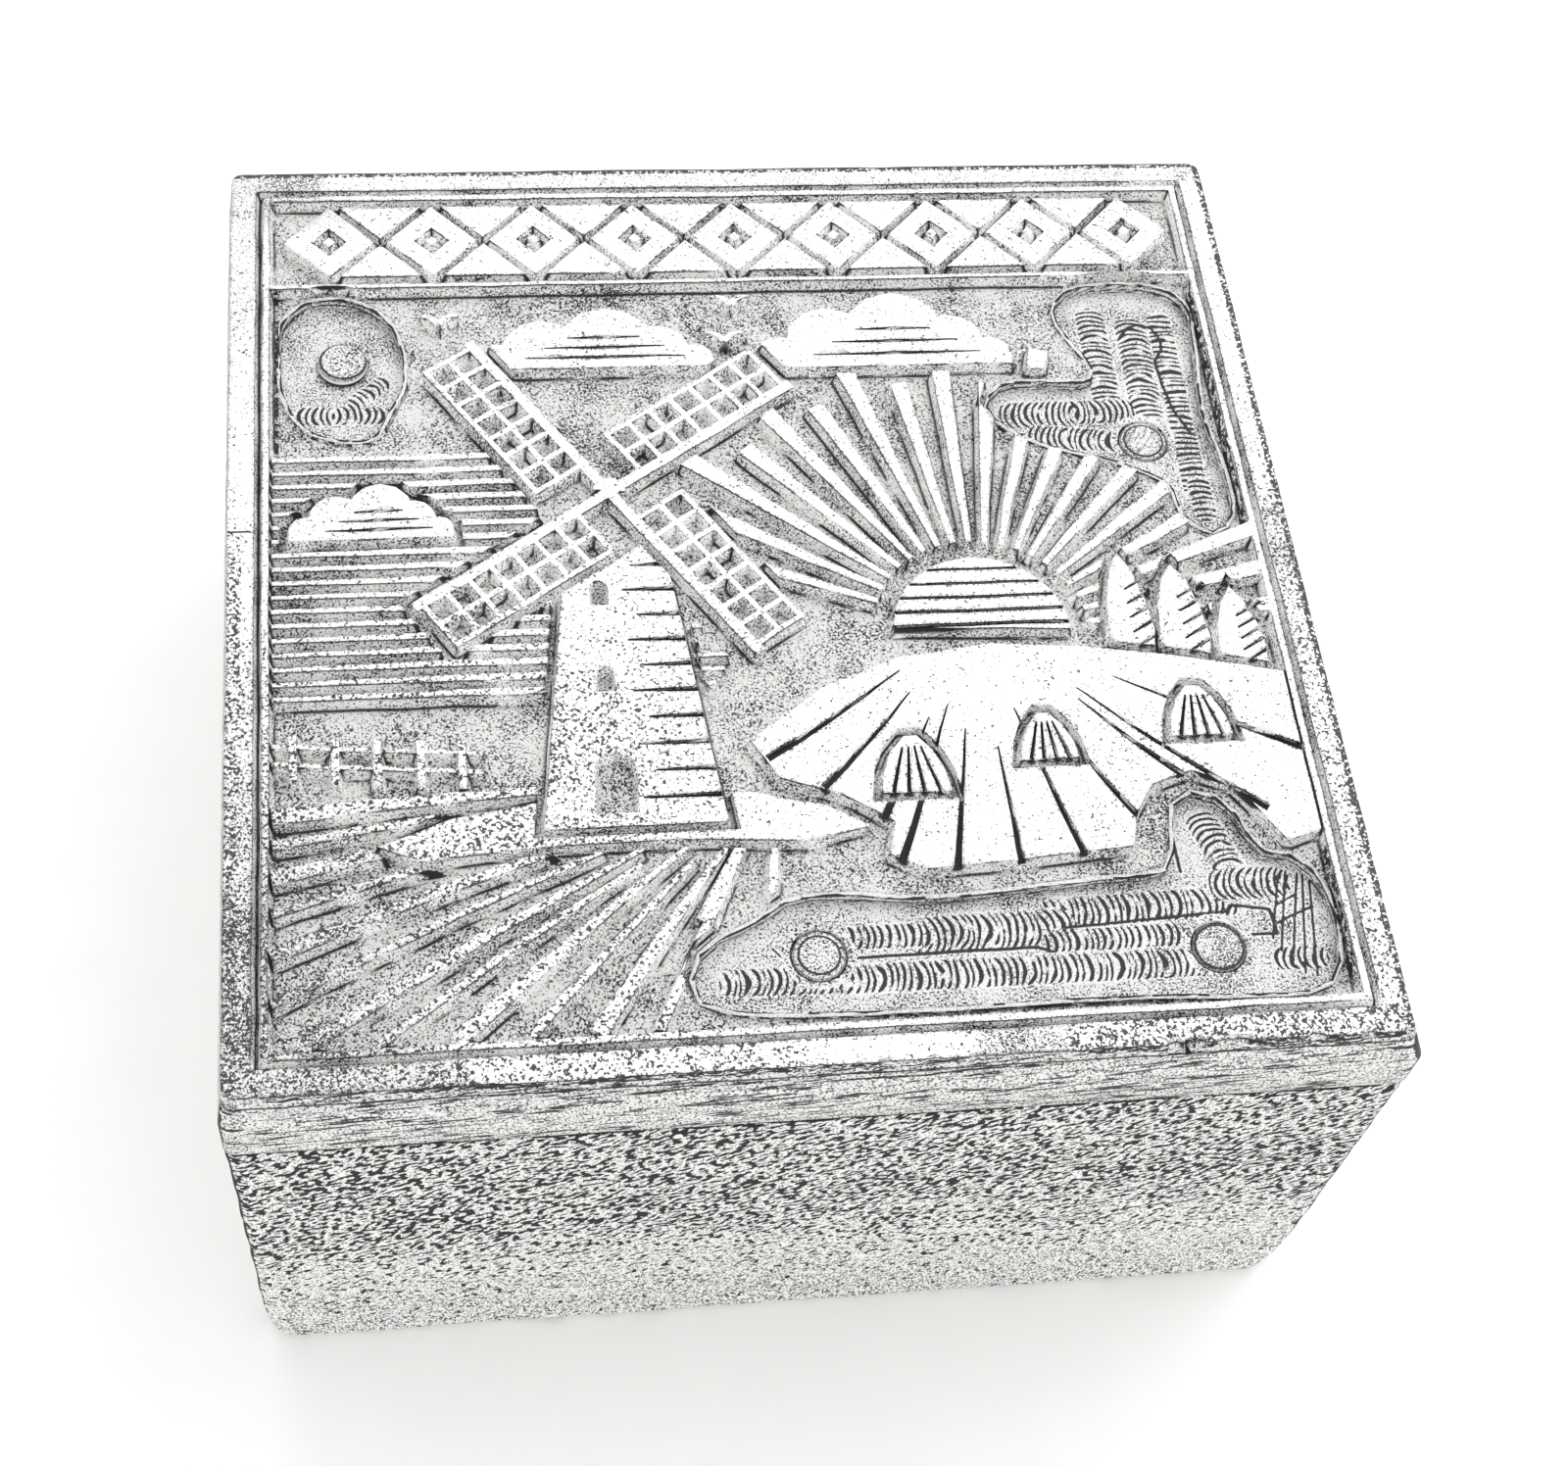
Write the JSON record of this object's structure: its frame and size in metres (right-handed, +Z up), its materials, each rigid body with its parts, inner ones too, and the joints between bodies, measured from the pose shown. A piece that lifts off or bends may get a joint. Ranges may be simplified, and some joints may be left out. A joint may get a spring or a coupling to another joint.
{
  "type": "letterpress printing block",
  "caption": "Nearly square relief printing block: a hard relief shell on a soft metal backing plate with routed pockets, nailed to a wooden mount made to the height of type.",
  "frame": {"origin": "middle of the wooden mount's underside, on the bed of the press", "axes": "+Z up from the bed to the printing face, +X to the right and +Y to the rear as the picture shows the block"},
  "size_m": [0.0412, 0.0404, 0.0233],
  "materials": {
    "shell": "satin electro-deposited face with fine wear, dark ink left at the foot of the raised work",
    "backing": "dull grey type metal, shaved at the sides and routed in the pockets",
    "wood": "bare rough-sawn hardwood, worn at the lower edges",
    "nail": "dull filed nail head"
  },
  "bodies": {
    "root": {"wood_mount": "wood", "backing_plate": "backing", "relief_shell": "shell", "nail_rear_left": "nail", "nail_rear_right": "nail", "nail_front_middle": "nail", "nail_front_right": "nail"}
  },
  "joints": []
}
